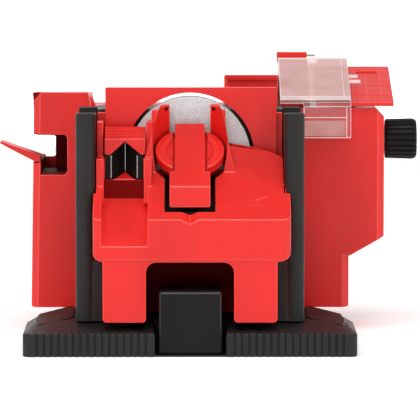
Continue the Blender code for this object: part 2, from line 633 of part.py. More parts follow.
def knob(black):
    flutes = 18
    outline = []
    for k in range(flutes * 2):
        radius = KNOB_RADIUS if k % 2 else KNOB_RADIUS - 0.5
        turn = 2 * math.pi * k / (flutes * 2)
        outline.append((KNOB_Y + radius * math.cos(turn), KNOB_Z + radius * math.sin(turn)))
    made = paint(prism("adjusting_knob", "X", outline, 82.8, 96.0), black)
    soften(made, 0.7, 1)


def clear_guard(clear, red, steel):
    """Spark guard: a tilted panel on a hinge at its far edge, with a skirt at its near edge."""
    tilt = math.tan(GUARD_TILT)
    near, far, top, thick = 38.5, 83.5, 98.6, 1.8
    rise = (far - near) * tilt
    panel = [(near, top - thick), (far, top + rise - thick), (far, top + rise), (near, top)]
    made = paint(prism("clear_guard", "X", panel, 37.8, 67.6), clear)
    join(made, box("guard_skirt", (47.6, 67.6), (38.5, 40.3), (82.4, 98.0)))
    ear = [(82, top + (82 - near) * tilt), (82, top + (82 - near) * tilt - thick), (84.5, 112.2)]
    ear += [(HINGE_Y + 1.2, 113.8), (HINGE_Y + 1.2, 116.4), (85, 116.4)]
    join(made, prism("guard_ear", "X", ear, 50.8, 54.4))
    cut(made, along_x(rod("ear_bore", 0.95, 30, 16), 34, HINGE_Y, HINGE_Z))
    barrel = paint(box("guard_hinge", (37.4, 50.4), (84.4, 88.4), (111.9, 116.6)), red)
    cut(barrel, along_x(rod("hinge_bore", 0.95, 30, 16), 34, HINGE_Y, HINGE_Z))
    paint(along_x(rod("hinge_pin", 0.6, 16.2, 12), 38.0, HINGE_Y, HINGE_Z), steel)


def main():
    clear_scene()
    red = material("red_plastic", (0.72, 0.025, 0.02), 0.42)
    black = material("black_plastic", (0.025, 0.025, 0.027), 0.5)
    rubber = material("rubber", (0.02, 0.02, 0.02), 0.8)
    steel = material("zinc_steel", (0.6, 0.6, 0.6), 0.35, 1.0)
    bright = material("ground_steel", (0.75, 0.75, 0.75), 0.2, 1.0)
    copper = material("copper", (0.7, 0.3, 0.15), 0.4, 1.0)
    carbon = material("carbon", (0.03, 0.03, 0.03), 0.6)
    stone = material("abrasive", (0.62, 0.62, 0.6), 0.9)
    clear = material("clear_plastic", (0.95, 0.95, 0.95), 0.05, alpha=0.3)
    base(black)
    foot_pads(rubber)
    bottom_cover(black)
    dock_block(black)
    base_screws(steel)
    housing(black)
    switch(black, red)
    motor(steel, copper, carbon, black, bright)
    wheels(stone, steel)
    guard_plate(red)
    front_cover(red)
    front_head(red)
    scissor_parts(red, black)
    turret(red, steel)
    rear_head(red)
    rear_cover(red, black)
    rear_covers(red)
    knife_station(red, stone)
    chisel_station(red, steel, black)
    clear_guard(clear, red, steel)


main()
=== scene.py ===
"""Bench sharpener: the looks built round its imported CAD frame.

Lengths are in millimetres until add_mesh() scales them to metres. The CAD frame is +X right, +Y back
along the motor shaft and +Z up, with z = 0 on the bench.
"""

import json
import math

import bmesh
import bpy
from mathutils import Matrix, Vector


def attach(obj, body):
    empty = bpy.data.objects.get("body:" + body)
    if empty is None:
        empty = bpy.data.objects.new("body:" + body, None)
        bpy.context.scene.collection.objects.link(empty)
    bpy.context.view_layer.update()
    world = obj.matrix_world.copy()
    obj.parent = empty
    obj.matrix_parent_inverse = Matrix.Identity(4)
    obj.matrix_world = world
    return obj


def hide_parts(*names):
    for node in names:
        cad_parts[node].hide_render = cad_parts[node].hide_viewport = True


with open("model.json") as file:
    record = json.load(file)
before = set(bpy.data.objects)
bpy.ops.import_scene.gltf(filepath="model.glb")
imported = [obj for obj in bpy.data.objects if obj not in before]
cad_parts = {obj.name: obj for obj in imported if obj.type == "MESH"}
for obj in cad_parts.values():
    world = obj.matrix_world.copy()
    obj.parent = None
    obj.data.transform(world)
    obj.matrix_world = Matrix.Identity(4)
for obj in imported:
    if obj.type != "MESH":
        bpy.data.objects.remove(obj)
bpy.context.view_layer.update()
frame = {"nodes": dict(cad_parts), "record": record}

MM = 0.001
BEVEL_ANGLE = math.radians(30.0)  # sharper edges than this are rounded
CREASE_ANGLE = math.radians(38.0)  # and sharper ones than this stay creased in the shading
NODES = frame["nodes"]
BODY_OF = {node: body for body, held in frame["record"]["behaviour"]["bodies"].items() for node in held}
SLOT_OF = {row["node"]: row["material_slot"] for row in frame["record"]["subparts"]}

SHAFT_Z = 76.9
SLOPE = math.radians(34.0)
EDGE_Y, EDGE_Z = -40.0, 55.0  # the front head's top front edge
TURRET_Y = -8.35
GUARD_TILT = math.radians(19.1)
GUARD_Y, GUARD_Z = 38.5, 98.6  # the clear panel's top face at its front edge
PLATFORM_TILT = math.radians(16.5)
PLATFORM_Y, PLATFORM_Z = 41.0, 97.2  # the platform's top face at its front edge
KNOB_Y, KNOB_Z = 58.0, 81.0
HOOD_Y, HOOD_Z = -12.6, 85.4  # front edge of the scissor hood's ridged top
HOOD_RUN, HOOD_RISE = 6.0, 4.4
GUIDE_FOOT = 69.6
BACK_FACE = 94.0  # the rear cover's outer face
BASE_FRONT, BASE_BACK = -42.0, 42.0

# Stage, in metres
WHITE = (1.0, 1.0, 1.0)
STUDIO_GREY = (0.90, 0.90, 0.90)
STAGE_HALF = 6.0
OBJECT_MIDDLE = (0.0, 0.0, 0.06)


# ---------------------------------------------------------------- materials

def new_material(name):
    made = bpy.data.materials.new(name)
    made.use_nodes = True
    return made, made.node_tree, made.node_tree.nodes["Principled BSDF"]


def node(tree, kind, **values):
    made = tree.nodes.new(kind)
    for name, value in values.items():
        if name in made.inputs:
            made.inputs[name].default_value = value
        else:
            setattr(made, name, value)
    return made


def noise(tree, where, scale, detail=2.0, rough=0.5):
    made = node(tree, "ShaderNodeTexNoise", Scale=scale, Detail=detail, Roughness=rough)
    tree.links.new(where, made.inputs["Vector"])
    return made.outputs["Fac"]


def spread(tree, value, low, high):
    """Spreads a noise, most of which is between 0.3 and 0.7, over the range from low to high."""
    made = node(tree, "ShaderNodeMapRange")
    for socket, number in (("From Min", 0.3), ("From Max", 0.7), ("To Min", low), ("To Max", high)):
        made.inputs[socket].default_value = number
    tree.links.new(value, made.inputs["Value"])
    return made.outputs["Result"]


def blend_colours(tree, value, colours, stops):
    ramp = node(tree, "ShaderNodeValToRGB")
    points = ramp.color_ramp.elements
    while len(points) < len(colours):
        points.new(0.5)
    for point, colour, stop in zip(points, colours, stops):
        point.position = stop
        point.color = (*colour, 1.0)
    tree.links.new(value, ramp.inputs["Fac"])
    return ramp.outputs["Color"]


def bumped(tree, shader, height, distance):
    made = node(tree, "ShaderNodeBump", Distance=distance, Strength=1.0)
    tree.links.new(height, made.inputs["Height"])
    tree.links.new(made.outputs["Normal"], shader.inputs["Normal"])


def object_space(tree, stretch=(1, 1, 1)):
    where = node(tree, "ShaderNodeTexCoord").outputs["Object"]
    if stretch == (1, 1, 1):
        return where
    made = node(tree, "ShaderNodeMapping", Scale=stretch)
    tree.links.new(where, made.inputs["Vector"])
    return made.outputs["Vector"]


def shaded(colour, factor):
    return tuple(min(1.0, c * factor) for c in colour)


def plastic(name, colour, roughness, grain=1500.0, depth=0.012, specular=0.5):
    """Moulded plastic: fine spark-eroded grain, faint flow marks and patches of polish from handling."""
    made, tree, shader = new_material(name)
    where = object_space(tree)
    flow = noise(tree, object_space(tree, (1.0, 1.0, 0.35)), 42.0, 4.0)
    tones = [shaded(colour, 0.90), colour, shaded(colour, 1.06)]
    tree.links.new(blend_colours(tree, flow, tones, (0.32, 0.5, 0.68)), shader.inputs["Base Color"])
    patches = noise(tree, where, 85.0, 5.0, 0.6)
    finish = spread(tree, patches, roughness - 0.05, roughness + 0.07)
    tree.links.new(finish, shader.inputs["Roughness"])
    bumped(tree, shader, noise(tree, where, grain, 2.0, 0.6), depth * MM)
    shader.inputs["Specular IOR Level"].default_value = specular
    return made


def steel(name, colour, roughness, stretch):
    """Steel with the fine lines its finishing left, along the axis that stretch keeps short."""
    made, tree, shader = new_material(name)
    lines = noise(tree, object_space(tree, stretch), 900.0, 3.0)
    tones = [shaded(colour, 0.82), shaded(colour, 1.1)]
    tree.links.new(blend_colours(tree, lines, tones, (0.3, 0.7)), shader.inputs["Base Color"])
    tree.links.new(spread(tree, lines, roughness - 0.07, roughness + 0.1), shader.inputs["Roughness"])
    bumped(tree, shader, lines, 0.01 * MM)
    shader.inputs["Metallic"].default_value = 1.0
    return made


def abrasive():
    """Bonded grit: pale grains with dark pores between them."""
    made, tree, shader = new_material("wheel_grit")
    where = object_space(tree)
    grit = node(tree, "ShaderNodeTexVoronoi", Scale=3300.0)
    tree.links.new(where, grit.inputs["Vector"])
    cells = node(tree, "ShaderNodeSeparateColor")
    tree.links.new(grit.outputs["Color"], cells.inputs["Color"])
    tones = [(0.34, 0.36, 0.36), (0.58, 0.61, 0.61), (0.66, 0.69, 0.69), (0.76, 0.79, 0.79)]
    colour = blend_colours(tree, cells.outputs["Red"], tones, (0.0, 0.10, 0.6, 0.95))
    tree.links.new(colour, shader.inputs["Base Color"])
    tree.links.new(spread(tree, noise(tree, where, 400.0), 0.75, 0.95), shader.inputs["Roughness"])
    bumped(tree, shader, grit.outputs["Distance"], 0.12 * MM)
    return made


def clear_plastic(name, colour, alpha, roughness):
    """Clear acrylic, hazed a little by dust and fine scratches."""
    made, tree, shader = new_material(name)
    where = object_space(tree)
    haze = noise(tree, where, 120.0, 4.0)
    tones = [shaded(colour, 0.97), colour]
    tree.links.new(blend_colours(tree, haze, tones, (0.35, 0.65)), shader.inputs["Base Color"])
    tree.links.new(spread(tree, haze, roughness, roughness + 0.08), shader.inputs["Roughness"])
    tree.links.new(spread(tree, haze, alpha - 0.03, alpha + 0.04), shader.inputs["Alpha"])
    shader.inputs["IOR"].default_value = 1.49
    bumped(tree, shader, noise(tree, object_space(tree, (1, 0.08, 1)), 700.0), 0.002 * MM)
    return made


RED = (0.735, 0.0085, 0.0045)
# Lighter red that the bevel strips wear: a painted highlight along the edges.
RED_HIGHLIGHT = (0.86, 0.03, 0.02)
# Dark red for faces in recesses: painted shade.
PAINTED_SHADE_RED = (0.20, 0.002, 0.001)
# Red-brown grit of the knife stone, made darker still as painted shade in its notch.
STONE_GRIT_AND_SHADE = (0.10, 0.003, 0.002)
BLACK = (0.0115, 0.0105, 0.010)
# Lighter black that the bevel strips wear: a painted highlight along the edges.
BLACK_HIGHLIGHT = (0.026, 0.024, 0.023)

# Where a slot has two looks, the second is a lighter copy for bevel strips and raised lines: a painted
# highlight.
LOOKS = {
    "red_plastic": [plastic("red_moulded", RED, 0.42, specular=0.55),
                    plastic("red_moulded_highlight", RED_HIGHLIGHT, 0.34, specular=0.7)],
    "black_plastic": [plastic("black_moulded", BLACK, 0.46, depth=0.02, specular=0.13),
                      plastic("black_moulded_highlight", BLACK_HIGHLIGHT, 0.38, depth=0.02, specular=0.3)],
    "rubber": [plastic("rubber_pad", (0.018, 0.018, 0.018), 0.8, grain=900.0, depth=0.04)],
    "zinc_steel": [steel("zinc_plated", (0.62, 0.62, 0.60), 0.35, (1, 1, 0.1))],
    "ground_steel": [steel("ground_shaft", (0.72, 0.72, 0.71), 0.22, (0.1, 1, 1))],
    "copper": [steel("wound_copper", (0.72, 0.33, 0.18), 0.4, (1, 0.1, 1))],
    "carbon": [plastic("carbon_brush", (0.03, 0.03, 0.03), 0.65, grain=2200.0, depth=0.03)],
    "abrasive": [abrasive()],
    "clear_plastic": [clear_plastic("clear_panel", (0.80, 0.50, 0.47), 0.78, 0.10),
                      # Whiter clear acrylic for the guard's ribs, bars and bevel strips: a painted
                      # highlight.
                      clear_plastic("clear_highlight", (0.97, 0.86, 0.85), 0.75, 0.08)],
}

# Looks that only some faces or pieces wear
# Satin black, with a lighter copy for the bevel strips as a painted highlight.
SATIN_BLACK = [plastic("black_satin", (0.0155, 0.0145, 0.014), 0.5, depth=0.025, specular=0.3),
               plastic("black_satin_highlight", (0.034, 0.032, 0.031), 0.4, depth=0.02, specular=0.5)]
# Dark red look for recessed faces: painted shade.
SHADE_RED_LOOK = plastic("red_painted_shade", PAINTED_SHADE_RED, 0.6, specular=0.08)
# The knife stone's grit, darkened as painted shade in its notch.
STONE_LOOK_AND_SHADE = plastic("stone_grit_and_shade", STONE_GRIT_AND_SHADE, 0.8, grain=1400.0, depth=0.08, specular=0.1)
CLEAR_WINDOW = clear_plastic("clear_window", (0.95, 0.90, 0.90), 0.05, 0.06)
FROSTED = clear_plastic("frosted_strip", (0.80, 0.40, 0.35), 0.5, 0.25)


# ---------------------------------------------------------------- mesh helpers

def add_mesh(name, bm):
    """Turns a bmesh in millimetres into an object in metres, with its faces pointing out."""
    bmesh.ops.recalc_face_normals(bm, faces=bm.faces)
    bmesh.ops.scale(bm, vec=(MM, MM, MM), verts=bm.verts)
    mesh = bpy.data.meshes.new(name)
    bm.to_mesh(mesh)
    bm.free()
    made = bpy.data.objects.new(name, mesh)
    bpy.context.scene.collection.objects.link(made)
    return made


def prism(name, axis, outline, low, high):
    """Outline in the plane square to axis, extruded along it from low to high."""
    order = {"X": lambda u, v, w: (w, u, v), "Y": lambda u, v, w: (u, w, v), "Z": lambda u, v, w: (u, v, w)}
    place = order[axis]
    bm = bmesh.new()
    face = bm.faces.new([bm.verts.new(place(u, v, low)) for u, v in outline])
    grown = bmesh.ops.extrude_face_region(bm, geom=[face])["geom"]
    moved = [item for item in grown if isinstance(item, bmesh.types.BMVert)]
    bmesh.ops.translate(bm, verts=moved, vec=place(0, 0, high - low))
    return add_mesh(name, bm)


def box(name, x, y, z):
    return prism(name, "Z", [(x[0], y[0]), (x[1], y[0]), (x[1], y[1]), (x[0], y[1])], *z)


def skinned(name, loops):
    """Solid through closed loops of the same number of points, capped at both ends."""
    bm = bmesh.new()
    rims = [[bm.verts.new(point) for point in loop] for loop in loops]
    bm.faces.new(rims[0])
    bm.faces.new(rims[-1])
    for low, high in zip(rims, rims[1:]):
        for k in range(len(low)):
            bm.faces.new((low[k - 1], low[k], high[k], high[k - 1]))
    return add_mesh(name, bm)


def circle(radius, sides):
    turns = [2 * math.pi * k / sides for k in range(sides)]
    return [(radius * math.cos(t), radius * math.sin(t)) for t in turns]


def turned(name, profile, sides=96):
    """Closed profile of (radius, height) points turned about local Z."""
    bm = bmesh.new()
    loops = []
    for radius, height in profile:
        if radius == 0:
            loops.append([bm.verts.new((0, 0, height))] * sides)
        else:
            loops.append([bm.verts.new((u, v, height)) for u, v in circle(radius, sides)])
    for lower, upper in zip(loops, loops[1:] + loops[:1]):
        for k in range(sides):
            near = (k + 1) % sides
            ring = list(dict.fromkeys([lower[k], lower[near], upper[near], upper[k]]))
            if len(ring) > 2:
                bm.faces.new(ring)
    return add_mesh(name, bm)


def placed(item, x, y, z, turn_x=0.0, turn_y=0.0):
    """Moves an item's own vertices, so that the object itself stays at the origin."""
    matrix = Matrix.Translation((x * MM, y * MM, z * MM))
    matrix = matrix @ Matrix.Rotation(turn_x, 4, "X") @ Matrix.Rotation(turn_y, 4, "Y")
    item.data.transform(matrix)
    return item


def along_x(item, x, y, z):
    return placed(item, x, y, z, turn_y=math.pi / 2)


def along_y(item, x, y, z):
    return placed(item, x, y, z, turn_x=-math.pi / 2)


def slope_z(y, above=0.0):
    """Height of the front head's slope at y, or of a plane that far above it."""
    return EDGE_Z + (y - EDGE_Y) * math.tan(SLOPE) + above / math.cos(SLOPE)


def on_slope(item):
    """Places an item on the turret's axis, its local Z square to the slope and its origin on the slope."""
    return placed(item, 0, TURRET_Y, slope_z(TURRET_Y), turn_x=SLOPE)


def bake(item):
    """Makes an item's modifiers permanent."""
    bpy.context.view_layer.update()
    depsgraph = bpy.context.evaluated_depsgraph_get()
    mesh = bpy.data.meshes.new_from_object(item.evaluated_get(depsgraph), depsgraph=depsgraph)
    item.modifiers.clear()
    item.data = mesh


def clean(item):
    """Welds split corners and dissolves the edges inside flat faces."""
    bm = bmesh.new()
    bm.from_mesh(item.data)
    bmesh.ops.remove_doubles(bm, verts=bm.verts, dist=0.002 * MM)
    bmesh.ops.dissolve_limit(bm, angle_limit=math.radians(0.6), verts=bm.verts, edges=bm.edges)
    bmesh.ops.recalc_face_normals(bm, faces=bm.faces)
    bm.to_mesh(item.data)
    bm.free()


def combine(item, others, operation):
    """Joins or cuts an item with others, which are used up."""
    if not others:
        return
    for other in others:
        change = item.modifiers.new(other.name, "BOOLEAN")
        change.operation = operation
        change.solver = "EXACT"
        change.object = other
    bake(item)
    for other in others:
        bpy.data.objects.remove(other, do_unlink=True)


def soften(item, width, segments=2, highlight_slot=1):
    """Rounds the edges. The strips wear the look in the slot given, a lighter copy of the faces' look that
    paints a highlight on them, or their own faces' look with -1.
    """
    bevel = item.modifiers.new("soft_edges", "BEVEL")
    bevel.width = width * MM
    bevel.segments = segments
    bevel.limit_method = "ANGLE"
    bevel.angle_limit = BEVEL_ANGLE
    bevel.use_clamp_overlap = False
    bevel.material = highlight_slot
    bake(item)


def drop_folds(item):
    """Removes the faces that a bevel has turned over on top of their neighbours.

    A large one also leaves two neighbours that overlap, so its near corners are welded together.
    """
    turned_over, large = math.radians(178), 20 * MM * MM
    bm = bmesh.new()
    bm.from_mesh(item.data)
    folded = set()
    for edge in bm.edges:
        if len(edge.link_faces) == 2 and edge.calc_face_angle(0.0) > turned_over:
            folded.add(min(edge.link_faces, key=lambda face: face.calc_area()))
    welds = {}
    for face in folded:
        if face.calc_area() > large:
            far = max(face.verts, key=lambda v: sum((v.co - other.co).length for other in face.verts))
            near, *rest = sorted((v for v in face.verts if v != far), key=lambda v: (v.co - far.co).length)
            welds.update((v, near) for v in rest)
    bmesh.ops.delete(bm, geom=list(folded), context="FACES_ONLY")
    bmesh.ops.weld_verts(bm, targetmap=welds)
    bm.to_mesh(item.data)
    bm.free()


def shade(item):
    """Smooth shading, with creases kept and flat faces left flat."""
    bm = bmesh.new()
    bm.from_mesh(item.data)
    for edge in bm.edges:
        edge.smooth = len(edge.link_faces) == 2 and edge.calc_face_angle(0.0) < CREASE_ANGLE
    for face in bm.faces:
        face.smooth = True
    bm.to_mesh(item.data)
    bm.free()
    weighted = item.modifiers.new("flat_faces", "WEIGHTED_NORMAL")
    weighted.keep_sharp = True


def coat(item, looks):
    """Gives an item these materials in place of its own. The first is its faces' look."""
    item.data.materials.clear()
    for made in looks:
        item.data.materials.append(made)


def finish_piece(item, body, replaced=()):
    """Shades a piece, hangs it on its body's empty and hides the CAD nodes it stands for."""
    shade(item)
    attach(item, body)
    if replaced:
        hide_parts(*replaced)


def inside(point, spans):
    """Whether a point in metres is in the box that three spans in millimetres make."""
    return all(low * MM <= value <= high * MM for value, (low, high) in zip(point, spans))


def repaint(item, look, regions):
    """Gives the faces whose middles are in one of the regions another look."""
    item.data.materials.append(look)
    slot = len(item.data.materials) - 1
    for face in item.data.polygons:
        if any(inside(face.center, spans) for spans in regions):
            face.material_index = slot


def refined(name, width, joins=(), cuts=(), fine=(), segments=2, shaded_regions=(), looks=None):
    """A CAD node's own shape with more detail and soft edges. It stands for the node."""
    slot = SLOT_OF[name]
    item = bpy.data.objects.new(f"{name}_shell", NODES[name].data.copy())
    bpy.context.scene.collection.objects.link(item)
    clean(item)
    combine(item, joins, "UNION")
    combine(item, cuts, "DIFFERENCE")
    clean(item)
    coat(item, looks or LOOKS[slot])
    for face in item.data.polygons:
        face.material_index = 0
    # Where the slot has a second, lighter look, the bevel strips wear it as a painted highlight.
    soften(item, width, segments, highlight_slot=1 if len(LOOKS[slot]) > 1 else -1)
    combine(item, fine, "DIFFERENCE")
    drop_folds(item)
    # Faces in the shaded regions get the dark red of painted shade.
    if shaded_regions:
        repaint(item, SHADE_RED_LOOK, shaded_regions)
    finish_piece(item, BODY_OF[name], [name])
    return item


def added(item, body, slot, width=0.0, look=0, special=None):
    """A piece that the CAD has no node for, in one of its slot's looks or in a special one."""
    coat(item, [special or LOOKS[slot][look]])
    if width:
        soften(item, width, highlight_slot=-1)
    finish_piece(item, body)


# ---------------------------------------------------------------- base

def foot_lug(side):
    """Long rounded pad on the outer top of a foot, which rises from its front end to its middle."""
    plan = [(-62.6, -30.5), (-63.9, -16.0), (-62.6, 1.0), (-52.6, 22.5), (-48.6, 30.0)]
    plan += [(-47.0, 26.0), (-47.0, -8.0), (-49.4, -14.5), (-55.0, -21.0)]
    centre_x = sum(x for x, _ in plan) / len(plan)
    centre_y = sum(y for _, y in plan) / len(plan)
    foot, low_top, rise, rise_start, rise_length = 9.0, 11.3, 1.5, -32.0, 24.0
    loops = []
    for share, lift in ((1.0, 0.0), (0.985, 0.62), (0.94, 0.92), (0.86, 1.0)):
        loop = []
        for x, y in plan:
            top = low_top + rise * min(1.0, max(0.0, (y - rise_start) / rise_length))
            u = centre_x + (x - centre_x) * share
            v = centre_y + (y - centre_y) * (1 - (1 - share) * 0.5)
            loop.append((side * u, v, foot + (top - foot) * lift))
        loops.append(loop)
    item = skinned(f"foot_lug_{'left' if side < 0 else 'right'}", loops)
    added(item, "frame", "black_plastic", 0.5, special=SATIN_BLACK[0])


def rounded(corners):
    """Outline through (u, v, radius) corners, each turned by an arc of that radius."""
    steps = 6
    outline = []
    for i, (u, v, radius) in enumerate(corners):
        here = Vector((u, v))
        if radius == 0:
            outline.append(here)
            continue
        before = (Vector(corners[i - 1][:2]) - here).normalized()
        after = (Vector(corners[(i + 1) % len(corners)][:2]) - here).normalized()
        half = before.angle(after) / 2
        centre = here + (before + after).normalized() * (radius / math.sin(half))
        start = here + before * (radius / math.tan(half)) - centre
        end = here + after * (radius / math.tan(half)) - centre
        sweep = -start.angle_signed(end)
        outline += [centre + Matrix.Rotation(sweep * k / steps, 2) @ start for k in range(steps + 1)]
    return outline


def inset(outline, distance):
    """A counter-clockwise outline moved inwards by a distance."""
    moved = []
    for i, here in enumerate(outline):
        before = (here - outline[i - 1]).normalized()
        after = (outline[(i + 1) % len(outline)] - here).normalized()
        inward_a, inward_b = Vector((-before.y, before.x)), Vector((-after.y, after.x))
        both = inward_a + inward_b
        moved.append(here + both * (distance / max(0.4, both.dot(inward_a))))
    return moved


def lofted(name, sections):
    """Solid through level outlines of the same number of points, given as (outline, z)."""
    return skinned(name, [[(p[0], p[1], z) for p in outline] for outline, z in sections])


def ribs(low_x, high_x):
    """Grooved front edge of one foot, from left to right."""
    pitch, groove, depth = 2.9, 0.95, 0.8
    count = int((high_x - low_x) / pitch)
    first = (low_x + high_x - (count - 1) * pitch) / 2
    corners = []
    for k in range(count):
        middle = first + k * pitch
        for u, v in ((-0.5, 0), (-0.42, depth), (0.42, depth), (0.5, 0)):
            corners.append((middle + u * groove, BASE_FRONT + v, 0))
    return corners


def base_plan(half, waist, front, recess, edges=((), ())):
    """Outline of the foot band, or of a level of its deck, with the dock's recess in its front."""
    left, right, back, dock_back = -14.0 - recess, 14.4 + recess, BASE_BACK - recess, -14.0
    corners = [(-half, front, 3.4), *edges[0], (left, front, 1), (left, dock_back, 0), (right, dock_back, 0)]
    corners += [(right, front, 1), *edges[1], (half, front, 3.4), (half, 2, 12)]
    corners += [(waist, back, 6), (-waist, back, 6), (-half, 2, 12)]
    return rounded(corners)


def base():
    """Ribbed foot band with rounded rims, its sloping deck and the narrow tail."""
    plan = base_plan(67.0, 52.5, BASE_FRONT, 0, (ribs(-63.4, -15.5), ribs(15.9, 63.4)))
    levels = [(inset(plan, 0.45), 0.0), (inset(plan, 0.12), 0.2), (plan, 0.6), (plan, 8.6)]
    levels += [(inset(plan, 0.12), 9.1), (inset(plan, 0.4), 9.4)]
    band = lofted("base_shell", levels)
    deck_low, deck_high = base_plan(66.5, 52.0, -41.5, 0.3), base_plan(62.0, 43.0, -22.0, 1.0)
    deck = lofted("deck", [(deck_low, 9.0), (deck_low, 9.35), (deck_high, 12.0)])
    tail = rounded([(-40.2, 30, 0), (40.2, 30, 0), (40.2, 95, 6), (-40.2, 95, 6)])
    rear = lofted("tail", [(inset(tail, 0.4), 0.0), (tail, 0.5), (tail, 9.3), (inset(tail, 0.4), 9.8)])
    dock_floor = box("dock_floor", (-15, 15.4), (-41, -13), (0, 0.7))
    combine(band, [deck, rear, dock_floor], "UNION")
    hollow = box("base_hollow", (-38, 38), (-11, 88), (-1, 7))
    seat = [(0, -1), (6.0, -1), (6.0, 1.6), (0, 1.6)]
    seats = [placed(turned(f"seat_{k}", seat, 32), x, y, 0)
             for k, (x, y) in enumerate(((-56, -30), (56, -30), (-49, 26), (49, 26)))]
    front_bore = [(0, -1), (3.0, -1), (3.0, 4.0), (1.7, 4.0), (1.7, 18), (0, 18)]
    rear_bore = [(0, 5), (1.7, 5), (1.7, 18), (0, 18)]
    bores = [placed(turned(f"bore_{side}", front_bore, 24), side * 42.0, -5.0, 0) for side in (-1, 1)]
    bores += [placed(turned(f"rear_bore_{side}", rear_bore, 24), side * 30.0, 31.0, 0) for side in (-1, 1)]
    combine(band, [hollow, *seats, *bores], "DIFFERENCE")
    coat(band, SATIN_BLACK)
    finish_piece(band, "frame", ["base"])
    refined("dock_block", 0.7, segments=3)
    for side in (-1, 1):
        foot_lug(side)


# ---------------------------------------------------------------- housing

def housing():
    """Motor housing with vents in both sides: short ones above the switch, long ones on the left."""
    vents = []
    for side, first, back, count in ((-1, 52.0, 37.0, 6), (1, 66.0, 22.5, 5)):
        wall = side * 44.5
        for k in range(count):
            z = first + k * 6.0
            vents.append(box(f"vent_{side}_{k}", (wall - 2.2, wall + 2.2), (17.5, back), (z, z + 1.6)))
    refined("housing", 0.55, fine=vents, segments=3, looks=SATIN_BLACK)
    refined("switch_frame", 0.4)
    refined("rocker_switch", 0.35)


# ---------------------------------------------------------------- wheels

def grinding_wheel(name, profile, sides, front):
    """Wheel of bonded grit on the shaft, its front face at y = front."""
    wheel = along_y(turned(f"{name}_grit", profile, sides), 0, front, SHAFT_Z)
    coat(wheel, LOOKS["abrasive"])
    finish_piece(wheel, "rotor", [name])


def wheels():
    bore, radius, thick = 3.3, 25.0, 8.0
    profile = [(bore, 0), (11.0, 0), (11.6, 0.5), (12.2, 0), (radius - 0.7, 0), (radius - 0.2, 0.2)]
    profile += [(radius, 0.7), (radius, thick - 0.5), (radius - 0.5, thick), (bore, thick)]
    grinding_wheel("front_wheel", profile, 128, 3.3)
    radius, thick, rim = 18.5, 10.0, 0.4
    profile = [(bore, 0), (radius - rim, 0), (radius, rim)]
    profile += [(radius, thick - rim), (radius - rim, thick), (bore, thick)]
    grinding_wheel("rear_wheel", profile, 96, 70.0)
    refined("guard_plate", 0.3)
    refined("front_cover", 0.3)


# ---------------------------------------------------------------- front head

def slope_line(name, points, width=0.35, height=0.16):
    """Raised line on the slope through (x, y) points."""
    parts = []
    for k, (start, end) in enumerate(zip(points, points[1:])):
        a, b = Vector(start), Vector(end)
        along = (b - a).normalized()
        side = Vector((-along.y, along.x)) * width / 2
        corners = [a - side - along * width / 2, b - side + along * width / 2]
        corners += [b + side + along * width / 2, a + side - along * width / 2]
        loops = [[(p.x, p.y, slope_z(p.y, above)) for p in corners] for above in (-0.3, height)]
        parts.append(skinned(f"{name}_{k}", loops))
    return parts


def front_head():
    """Front head with set-back legs, a raised frame and stroke on its slope, and painted shade on its
    recessed faces; the stroke wears a painted highlight.
    """
    hole = [(0, 0), (0.75, 0), (0.75, 6), (0, 6)]
    pins = [along_y(turned(f"horn_hole_{side}", hole, 20), side * 9.6, -9.0, 97.4) for side in (-1, 1)]
    legs = box("leg_step", (-60, 60), (-41, -39.0), (0, 38.9))
    frame_corners = [(18.9, -20.1), (37.0, -20.1), (38.6, -22.0), (38.6, -31.8), (18.9, -31.8)]
    panel = slope_line("panel", [*frame_corners, frame_corners[0]])
    stroke = slope_line("stroke", [(26.2, -30.1), (28.6, -28.5), (31.0, -27.9)], 0.6, 0.3)
    # Regions whose faces get painted shade: the trough's back wall, the wall behind the arch and the legs'
    # inner sides.
    trough_back = ((-35.6, -16.8), (-14.9, -13.9), (60.0, 69.1))
    arch_wall = ((-17.0, 17.0), (-5.4, -3.0), (13.0, 38.5))
    leg_sides = ((-17.9, 17.9), (-38.6, -5.0), (15.0, 38.5))
    refined("front_head", 0.4, cuts=[legs], fine=pins, segments=3, shaded_regions=[trough_back, arch_wall, leg_sides])
    pocket_liner()
    for item in panel:
        added(item, "frame", "red_plastic")
    # The stroke wears the lighter red: a painted highlight.
    for item in stroke:
        added(item, "frame", "red_plastic", look=1)


def pocket_liner():
    """Thin black tray in the turret's pocket, which the ring and the bar swing in."""
    def hollow(name, radius, half, front, floor, top):
        drum = turned(name, [(0, floor), (radius, floor), (radius, top), (0, top)], 64)
        combine(drum, [box(f"{name}_slot", (-half, half), (front, 0), (floor, top))], "UNION")
        return drum

    liner = hollow("pocket_liner", 15.12, 10.12, -32.92, -8.95, -0.7)
    inner = hollow("liner_inside", 14.75, 9.75, -32.55, -8.8, 5.0)
    pin = turned("liner_pin_hole", [(0, -12), (4.3, -12), (4.3, 0), (0, 0)], 32)
    combine(liner, [inner, pin], "DIFFERENCE")
    on_slope(liner)
    window = box("liner_window", (-8.4, 8.4), (-3.2, 12), (60, 120))
    behind = box("liner_behind", (-20, 20), (-2.2, 20), (60, 120))
    combine(liner, [window, behind], "DIFFERENCE")
    added(liner, "frame", "black_plastic")


